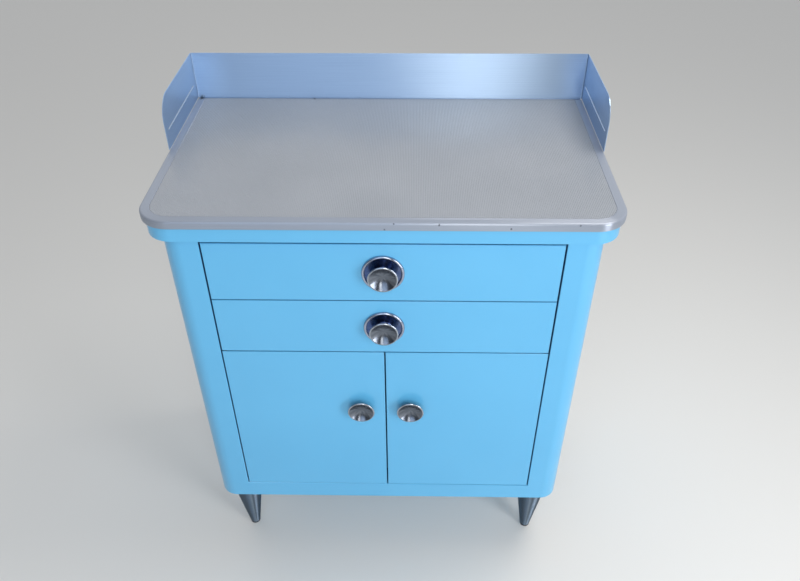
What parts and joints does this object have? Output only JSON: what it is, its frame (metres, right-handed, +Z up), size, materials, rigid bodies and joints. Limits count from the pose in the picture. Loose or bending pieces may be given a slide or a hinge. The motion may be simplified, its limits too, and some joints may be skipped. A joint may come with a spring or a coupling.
{
  "type": "treatment cabinet",
  "caption": "Painted steel medicine and treatment cabinet on conical legs, with drawers over a double-door cupboard and a stainless worktop with a splash guard.",
  "frame": {"origin": "on the floor under the middle of the cabinet's bounding box", "axes": "+Z up, +X to the right when facing the fronts, -Y out of the fronts"},
  "size_m": [0.762, 0.45, 0.979],
  "materials": {
    "paint": "semi-gloss enamel",
    "stainless": "satin brushed",
    "hardware": "spun and polished",
    "steel": "plain zinc-plated",
    "mat": "fine ribbed matt",
    "board": "raw hardboard",
    "nylon": "moulded",
    "dark": "moulded"
  },
  "bodies": {
    "cabinet": {"body_shell": "paint", "base_plate": "paint", "cabinet_floor": "paint", "back_panel": "paint", "cornice": "paint", "top_core": "board", "top_tray": "stainless", "top_mat": "mat", "splash_guard": "stainless", "upper_cross_rail": "paint", "lower_cross_rail": "paint", "front_left_leg": "steel", "front_right_leg": "steel", "rear_left_leg": "steel", "rear_right_leg": "steel", "leg_glides": "dark", "leg_bolts": "steel", "deck_screws": "steel", "panel_screws": "steel", "splash_rivets": "steel", "shelf": "paint", "shelf_clips": "steel", "door_catches": "dark", "left_pivot_arms": "steel", "right_pivot_arms": "steel", "upper_left_runner": "steel", "upper_right_runner": "steel", "lower_left_runner": "steel", "lower_right_runner": "steel"},
    "upper_drawer": {"upper_drawer_front": "paint", "upper_drawer_box": "stainless", "upper_left_rail": "steel", "upper_right_rail": "steel", "upper_saucer": "hardware", "upper_knob": "hardware", "upper_knob_screw": "steel"},
    "lower_drawer": {"lower_drawer_front": "paint", "lower_drawer_box": "stainless", "lower_left_rail": "steel", "lower_right_rail": "steel", "lower_saucer": "hardware", "lower_knob": "hardware", "lower_knob_screw": "steel"},
    "left_door": {"left_door_skin": "paint", "left_door_liner": "paint", "left_door_knob": "hardware", "left_door_screw": "steel"},
    "right_door": {"right_door_skin": "paint", "right_door_liner": "paint", "right_door_knob": "hardware", "right_door_screw": "steel"},
    "upper_left_roller": {"upper_left_roller": "nylon"},
    "upper_left_wheel": {"upper_left_wheel": "nylon"},
    "upper_right_roller": {"upper_right_roller": "nylon"},
    "upper_right_wheel": {"upper_right_wheel": "nylon"},
    "lower_left_roller": {"lower_left_roller": "nylon"},
    "lower_left_wheel": {"lower_left_wheel": "nylon"},
    "lower_right_roller": {"lower_right_roller": "nylon"},
    "lower_right_wheel": {"lower_right_wheel": "nylon"}
  },
  "joints": [
    {"name": "upper_drawer_slide", "type": "slide", "parent": "cabinet", "child": "upper_drawer", "axis": [0, -1, 0], "range_m": [0, 0.3]},
    {"name": "lower_drawer_slide", "type": "slide", "parent": "cabinet", "child": "lower_drawer", "axis": [0, -1, 0], "range_m": [0, 0.3]},
    {"name": "left_door_hinge", "type": "hinge", "parent": "cabinet", "child": "left_door", "pos_m": [-0.2855, -0.196, 0.41], "axis": [0, 0, -1], "range_deg": [0, 95]},
    {"name": "right_door_hinge", "type": "hinge", "parent": "cabinet", "child": "right_door", "pos_m": [0.2855, -0.196, 0.41], "axis": [0, 0, 1], "range_deg": [0, 95]},
    {"name": "upper_left_roller_spin", "type": "hinge", "parent": "cabinet", "child": "upper_left_roller", "pos_m": [-0.28713, -0.1493, 0.759], "axis": [1, 0, 0], "range_deg": [-1980, 1980]},
    {"name": "upper_left_wheel_spin", "type": "hinge", "parent": "upper_drawer", "child": "upper_left_wheel", "pos_m": [-0.28537, 0.1855, 0.759], "axis": [1, 0, 0], "range_deg": [-1980, 1980]},
    {"name": "upper_right_roller_spin", "type": "hinge", "parent": "cabinet", "child": "upper_right_roller", "pos_m": [0.28713, -0.1493, 0.759], "axis": [1, 0, 0], "range_deg": [-1980, 1980]},
    {"name": "upper_right_wheel_spin", "type": "hinge", "parent": "upper_drawer", "child": "upper_right_wheel", "pos_m": [0.28537, 0.1855, 0.759], "axis": [1, 0, 0], "range_deg": [-1980, 1980]},
    {"name": "lower_left_roller_spin", "type": "hinge", "parent": "cabinet", "child": "lower_left_roller", "pos_m": [-0.28713, -0.1493, 0.641], "axis": [1, 0, 0], "range_deg": [-1980, 1980]},
    {"name": "lower_left_wheel_spin", "type": "hinge", "parent": "lower_drawer", "child": "lower_left_wheel", "pos_m": [-0.28537, 0.1855, 0.641], "axis": [1, 0, 0], "range_deg": [-1980, 1980]},
    {"name": "lower_right_roller_spin", "type": "hinge", "parent": "cabinet", "child": "lower_right_roller", "pos_m": [0.28713, -0.1493, 0.641], "axis": [1, 0, 0], "range_deg": [-1980, 1980]},
    {"name": "lower_right_wheel_spin", "type": "hinge", "parent": "lower_drawer", "child": "lower_right_wheel", "pos_m": [0.28537, 0.1855, 0.641], "axis": [1, 0, 0], "range_deg": [-1980, 1980]}
  ],
  "couplings": [
    {"joint": "upper_left_roller_spin", "follows": "upper_drawer_slide", "rad_per_m": 111.11},
    {"joint": "upper_left_wheel_spin", "follows": "upper_drawer_slide", "rad_per_m": 111.11},
    {"joint": "upper_right_roller_spin", "follows": "upper_drawer_slide", "rad_per_m": 111.11},
    {"joint": "upper_right_wheel_spin", "follows": "upper_drawer_slide", "rad_per_m": 111.11},
    {"joint": "lower_left_roller_spin", "follows": "lower_drawer_slide", "rad_per_m": 111.11},
    {"joint": "lower_left_wheel_spin", "follows": "lower_drawer_slide", "rad_per_m": 111.11},
    {"joint": "lower_right_roller_spin", "follows": "lower_drawer_slide", "rad_per_m": 111.11},
    {"joint": "lower_right_wheel_spin", "follows": "lower_drawer_slide", "rad_per_m": 111.11}
  ]
}
